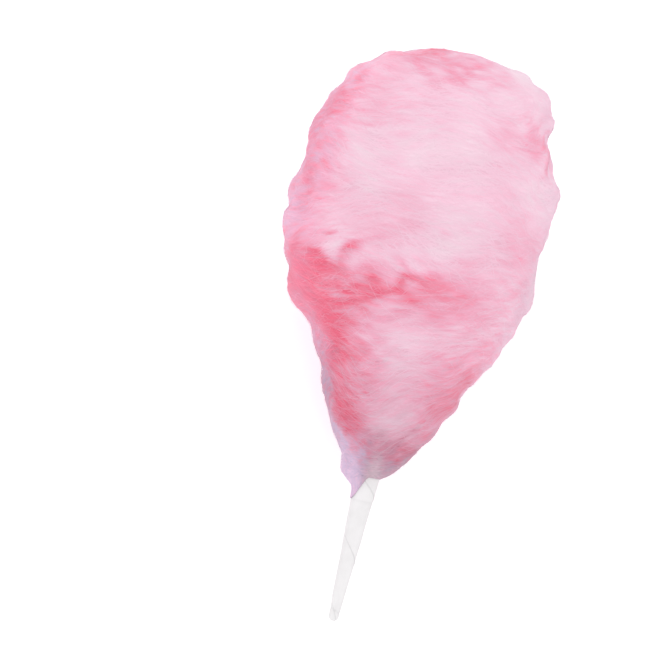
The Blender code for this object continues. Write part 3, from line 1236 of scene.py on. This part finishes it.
@dataclass
class Fibres:
    """Lays layers of fibres along the winding of the floss."""

    skin: FlossSkin
    winding: Winding
    dye: Dye
    widest_span: float = 0.20  # of a turn, so that no fibre cuts the thin neck's corner
    crown_disc: float = 0.085  # radius of the disc where fibres cross the crown, metres
    sways: tuple[float, float] = (0.8, 1.9)  # cycles along a fibre
    off_floor: float = 1.2 * MM
    off_rim: float = 7.0 * MM
    off_pole: float = 0.2 * MM
    crown_spread: float = 0.5  # of the directions over the crown, radians
    least_radius: float = 2.0 * MM
    most_bulge: float = 1.0 * MM
    least_width: float = 0.05  # at a fibre's ends, as a share of its width

    def paths(self, layer: FibreLayer, chance: np.random.Generator) -> tuple[Array, Array]:
        """Where the fibres of a layer run.

        A fibre starts anywhere on the skin, evenly by area, and runs round the candy
        with the winding's drift, a climb of its own and two slow sways. A few run
        straight over the crown instead.

        Args:
            layer: The layer.
            chance: The source of the random draws.

        Returns:
            Turn and reach of every station, each (count, stations).
        """
        skin, count = self.skin, layer.count
        girth = 2.0 * np.pi * skin.radius().mean(axis=1)
        belts = 0.5 * (girth[1:] + girth[:-1]) * np.diff(skin.reach)
        area = np.concatenate(([0.0], np.cumsum(belts)))
        middle = np.interp(chance.uniform(0.0, area[-1], count), area, skin.reach)
        length = chance.uniform(*layer.length, count)
        share = np.linspace(-0.5, 0.5, layer.stations)
        span = np.minimum(length / np.interp(middle, skin.reach, girth), self.widest_span)
        turn = chance.uniform(0.0, 1.0, (count, 1)) + span[:, None] * share
        drift = self.winding.drift(turn, middle[:, None], skin.reach[-1])
        climb = chance.normal(0.0, layer.slope, count) * length
        reach = middle[:, None] + drift - drift.mean(axis=1, keepdims=True)
        reach += climb[:, None] * share
        for cycles in self.sways:
            phase = chance.uniform(0.0, 1.0, (count, 1))
            sway = np.sin(2.0 * np.pi * (cycles * share + phase))
            reach += layer.wave / cycles * chance.normal(0.0, 1.0, (count, 1)) * sway
        crossing = chance.uniform(size=count) < layer.over_crown
        if crossing.any():
            turn[crossing], reach[crossing] = self.crown_paths(
                length[crossing], share, chance
            )
        return turn, np.clip(reach, 0.0, skin.reach[-1] - self.off_pole)

    def crown_paths(
        self, length: Array, share: Array, chance: np.random.Generator
    ) -> tuple[Array, Array]:
        """Paths that run straight over the crown, seen as a flat disc.

        Args:
            length: Each fibre's length.
            share: The stations, from -0.5 to 0.5 of the length.
            chance: The source of the random draws.

        Returns:
            Turn and reach of every station.
        """
        count = len(length)
        way = chance.normal(0.0, self.crown_spread, (count, 1))
        away = self.crown_disc * np.sqrt(chance.uniform(size=(count, 1)))
        around = chance.uniform(0.0, 2.0 * np.pi, (count, 1))
        along = length[:, None] * share
        x = away * np.cos(around) + along * np.cos(way)
        z = away * np.sin(around) + along * np.sin(way)
        turn = np.arctan2(z, x) / (2.0 * np.pi)
        return turn, self.skin.reach[-1] - np.hypot(x, z)

    def sagitta(self, layer: FibreLayer, turn: Array, reach: Array) -> Array:
        """How far the skin bulges above a straight stretch between two stations: the
        stretch's length squared over eight times the candy's radius there.

        Args:
            layer: The layer.
            turn: Turns of the stations, (count, stations).
            reach: Reaches of the stations.

        Returns:
            The bulge for each fibre, (count, 1).
        """
        skin, half = self.skin, layer.stations // 2
        radius = np.interp(reach[:, half], skin.reach, skin.radius().mean(axis=1))
        radius += self.least_radius
        around = 2.0 * np.pi * radius * np.abs(turn[:, -1] - turn[:, 0])
        stretch = around / (layer.stations - 1)
        return np.minimum(stretch**2 / (8.0 * radius), self.most_bulge)[:, None]

    def lay(self, layer: FibreLayer) -> Piece:
        """Works out one layer as closed three-sided tubes with pointed ends.

        A fibre's middle stands off the skin and its ends sink into it, along an arch
        that is the root of 1 - s^4, with s from -1 to 1 along it.

        Args:
            layer: The layer.

        Returns:
            The piece, without the fibres that would touch the floor, those of the film
            on the cone, and those that a seeking layer leaves out of calm sugar.
        """
        skin = self.skin
        chance = np.random.default_rng(layer.seed)
        turn, reach = self.paths(layer, chance)
        ground = skin.at(skin.points, turn, reach)
        normals = unit(skin.at(skin.shading, turn, reach))
        share = np.linspace(-1.0, 1.0, layer.stations)
        arch = np.sqrt(np.maximum(1.0 - share**4, 0.0))
        count = layer.count
        lift = chance.uniform(*layer.lift, (count, 1))
        lift += self.sagitta(layer, turn, reach)
        rise = (lift + layer.sink) * arch - layer.sink
        centres = ground + rise[..., None] * normals
        width = chance.uniform(*layer.width, (count, 1)) * np.maximum(arch, self.least_width)
        wound = reach - self.winding.drift(turn, reach, skin.reach[-1])
        tint = self.dye.at(ground, turn, wound)
        spread = layer.dye_spread * chance.normal(0.0, 1.0, (count, 1)) * tint.lively
        fade = 1.0 - layer.fade * chance.uniform(size=(count, 1)) ** 2
        dye = np.clip((tint.dye + spread) * fade, 0.0, 1.0)
        brightness = chance.uniform(*layer.tone, (count, 1)) - 1.0
        # the fibres take the skin's tone, with its painted light and shade
        tone = tint.tone + brightness * tint.lively
        height = skin.place.to_world(centres)[..., 2].min(axis=1)
        wanted = 1.0 - layer.seeking * (1.0 - tint.lively.mean(axis=1))
        kept = (height > self.off_floor) & (chance.uniform(size=count) < wanted)
        kept &= reach.min(axis=1) > self.off_rim
        values = {"dye": dye, "lilac": tint.lilac, "tone": tone}
        return tubes(
            layer.name,
            centres[kept],
            normals[kept],
            width[kept],
            layer.flatness,
            {name: value[kept] for name, value in values.items()},
        )


def tubes(
    name: str,
    centres: Array,
    normals: Array,
    width: Array,
    flatness: float,
    values: dict[str, Array],
    roundness: float = 0.22,
) -> Piece:
    """Makes a piece of many thin tubes, three-sided and pointed at both ends.

    Each ring has a corner on either side, half a width away, and one on top, a width
    times the flatness high. The first and last rings are one point each. Light passes
    through real fibres, so these are shaded nearly as the skin under them is.

    Args:
        name: The piece's name.
        centres: The middle line of each tube (tubes, stations, 3).
        normals: Which way is up, and lit, at each station, (tubes, stations, 3).
        width: Each station's width, (tubes, stations).
        flatness: Height over width.
        values: Painted values by name, each (tubes, stations).
        roundness: How much the shading turns to either side across a tube.

    Returns:
        The piece. Its map gives each tube a small cell of its own.
    """
    count, stations = centres.shape[:2]
    along = unit(np.gradient(centres, axis=1))
    side = unit(np.cross(along, normals))
    up = np.cross(side, along)
    half, tall = 0.5 * width[..., None], width[..., None] * flatness
    ring = np.stack(
        (
            centres - side * half - up * tall / 3.0,
            centres + up * tall * 2.0 / 3.0,
            centres + side * half - up * tall / 3.0,
        ),
        axis=2,
    )
    inner = ring[:, 1:-1].reshape(count, -1, 3)
    points = np.concatenate((centres[:, :1], inner, centres[:, -1:]), axis=1)
    tilt = roundness * side
    facing = np.stack((normals - tilt, normals, normals + tilt), axis=2)
    facing = facing[:, 1:-1].reshape(count, -1, 3)
    facing = np.concatenate((normals[:, :1], facing, normals[:, -1:]), axis=1)
    size = points.shape[1]
    rings = stations - 2
    index = 1 + np.arange(rings * 3).reshape(rings, 3)
    ahead = np.roll(index, -1, axis=1)
    start = np.stack((np.zeros(3, int), ahead[0], index[0]), axis=-1)
    end = np.stack((index[-1], ahead[-1], np.full(3, size - 1)), axis=-1)
    sides = np.stack((index[:-1], ahead[:-1], ahead[1:], index[1:]), axis=-1)
    first = size * np.arange(count)[:, None, None]
    faces = [
        (part.reshape(1, -1, part.shape[-1]) + first).reshape(-1, part.shape[-1])
        for part in (start, end, sides)
    ]

    def flat(value: Array) -> Array:
        """One entry for each vertex of each tube."""
        inner = np.repeat(value[:, 1:-1], 3, axis=1)
        return np.concatenate((value[:, :1], inner, value[:, -1:]), axis=1).ravel()

    cells = math.ceil(math.sqrt(count))
    number = np.arange(count)[:, None]
    across = np.broadcast_to(np.linspace(0.1, 0.9, stations), (count, stations))
    corner = np.concatenate(([0.5], np.tile((0.2, 0.5, 0.8), rings), [0.5]))
    u = (flat(across).reshape(count, -1) + number % cells) / cells
    v = (corner[None, :] + number // cells) / cells
    spot = np.stack((u, v), axis=-1).reshape(-1, 2)
    corner_map = np.concatenate([spot[part.ravel()] for part in faces])
    painted = {key: flat(value) for key, value in values.items()}
    lit = unit(facing).reshape(-1, 3)
    return Piece(name, points.reshape(-1, 3), faces, corner_map, painted, lit)


LAYERS = (
    FibreLayer(
        "floss_fibres_deep", seed=101, count=7800, stations=6,
        length=(0.010, 0.030), width=(0.8 * MM, 1.7 * MM), flatness=0.16,
        lift=(0.02 * MM, 0.14 * MM), slope=0.16, wave=0.4 * MM,
        dye_spread=0.050, tone=(0.97, 1.01),
    ),
    FibreLayer(
        "floss_fibres_middle", seed=102, count=7800, stations=6,
        length=(0.010, 0.030), width=(0.5 * MM, 1.1 * MM), flatness=0.20,
        lift=(0.06 * MM, 0.24 * MM), slope=0.24, wave=0.6 * MM,
        dye_spread=0.060, tone=(0.96, 1.02), fade=0.12,
    ),
    FibreLayer(
        "floss_fibres_upper", seed=103, count=7800, stations=6,
        length=(0.009, 0.028), width=(0.35 * MM, 0.7 * MM), flatness=0.26,
        lift=(0.12 * MM, 0.40 * MM), slope=0.32, wave=0.8 * MM,
        dye_spread=0.060, tone=(0.96, 1.03), fade=0.25,
    ),
    FibreLayer(
        "floss_fibres_fine", seed=104, count=5200, stations=8,
        length=(0.012, 0.042), width=(0.22 * MM, 0.40 * MM), flatness=0.4,
        lift=(0.20 * MM, 0.80 * MM), slope=0.45, wave=1.4 * MM,
        dye_spread=0.050, tone=(0.97, 1.03), fade=0.42,
    ),
    FibreLayer(
        "floss_stray_threads", seed=105, count=3000, stations=10,
        length=(0.008, 0.020), width=(0.18 * MM, 0.30 * MM), flatness=0.5,
        lift=(0.30 * MM, 1.20 * MM), slope=0.80, wave=1.8 * MM,
        dye_spread=0.040, tone=(0.98, 1.02), fade=0.48, seeking=1.1,
    ),
)


# --------------------------------------------------------------------------------------
# The studio
# --------------------------------------------------------------------------------------


@dataclass(frozen=True)
class Studio:
    """A white floor, a bright even surround, one large soft lamp and the camera."""

    place: CandyFrame
    lean: float = 13.7  # degrees that the cone's axis leans to the right
    target: tuple[float, float, float] = (-0.051, 0.202, 0.0)
    seen_width: float = 0.4726
    lens: float = 100.0
    sensor: float = 36.0
    surround: float = 0.85
    lamp_power: float = 4.5
    lamp_size: float = 1.2
    lamp_place: tuple[float, float, float] = (-0.02, 0.45, 1.60)
    lamp_aim: tuple[float, float, float] = (0.0, 0.05, 0.09)
    floor_half: float = 6.0
    floor_white: str = "fbfbfb"
    floor_glow: float = 0.34  # the floor is a light table, which softens the shadow

    def camera(self) -> None:
        """Places the camera square to the cone's axis, over the shown side."""
        right, axis, shown = self.place.directions
        lean = math.radians(self.lean)
        across = right * math.cos(lean) + axis * math.sin(lean)
        up = axis * math.cos(lean) - right * math.sin(lean)
        distance = self.seen_width * self.lens / self.sensor
        middle = self.place.to_world(np.array(self.target)) + shown * distance
        data = bpy.data.cameras.new("camera")
        data.lens = self.lens
        data.sensor_width = self.sensor
        data.clip_end = 20.0
        camera = bpy.data.objects.new("camera", data)
        turned = Matrix(np.stack((across, up, shown), axis=1).tolist()).to_4x4()
        camera.matrix_world = Matrix.Translation(Vector(middle)) @ turned
        bpy.context.scene.collection.objects.link(camera)
        bpy.context.scene.camera = camera

    def lamp(self) -> None:
        """Hangs the soft lamp over the crown, a little to the right."""
        data = bpy.data.lights.new("soft_lamp", "AREA")
        data.shape = "DISK"
        data.size = self.lamp_size
        data.energy = self.lamp_power
        lamp = bpy.data.objects.new("soft_lamp", data)
        lamp.location = self.lamp_place
        towards = Vector(self.lamp_aim) - lamp.location
        lamp.rotation_euler = towards.to_track_quat("-Z", "Y").to_euler()
        bpy.context.scene.collection.objects.link(lamp)

    def surroundings(self) -> None:
        """Lights the scene evenly from all round."""
        world = bpy.data.worlds.new("studio")
        world.use_nodes = True
        background = world.node_tree.nodes["Background"]
        background.inputs["Color"].default_value = (1.0, 1.0, 1.0, 1.0)
        background.inputs["Strength"].default_value = self.surround
        bpy.context.scene.world = world

    def floor(self) -> None:
        """Lays the floor that the candy lies on."""
        half = self.floor_half
        corners = [(-half, -half, 0.0), (half, -half, 0.0), (half, half, 0.0), (-half, half, 0.0)]
        mesh = bpy.data.meshes.new("floor")
        mesh.from_pydata(corners, [], [(0, 1, 2, 3)])
        material, tree = new_material("matt_white_floor")
        paint = add_node(
            tree,
            "ShaderNodeBsdfPrincipled",
            inputs={
                "Base Color": linear(self.floor_white),
                "Roughness": 0.9,
                "Emission Color": linear(self.floor_white),
                "Emission Strength": self.floor_glow,
            },
        )
        show(tree, paint)
        mesh.materials.append(material)
        floor = bpy.data.objects.new("floor", mesh)
        bpy.context.scene.collection.objects.link(floor)

    def build(self) -> None:
        """Sets the whole studio up, with colours shown as they are."""
        bpy.context.scene.view_settings.view_transform = "Standard"
        self.camera()
        self.lamp()
        self.surroundings()
        self.floor()


def main() -> None:
    """Builds the studio, the cone and the floss, and reports each piece."""
    logging.basicConfig(level=logging.INFO, format="%(name)s: %(message)s")
    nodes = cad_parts
    place = CandyFrame.of_cone(nodes["paper_cone"])
    Studio(place).build()

    cone = PaperCone(place, nodes["paper_cone"])
    paper = RolledPaper().material()
    put(cone.build().build(place), paper, ["paper_cone"])

    winding, dye = Winding(), Dye()
    skin = FlossSkin(place, nodes["floss"])
    core = FlossCore(skin, winding, dye, cone)
    core.draw_collar()
    core.raise_relief()
    sugar = SpunSugar().material()
    put(core.build().build(place), sugar, ["floss"])

    fibres = Fibres(skin, winding, dye)
    for layer in LAYERS:
        made = fibres.lay(layer).build(place)
        let_light_through(made)
        put(made, sugar)


if __name__ == "__main__":
    main()
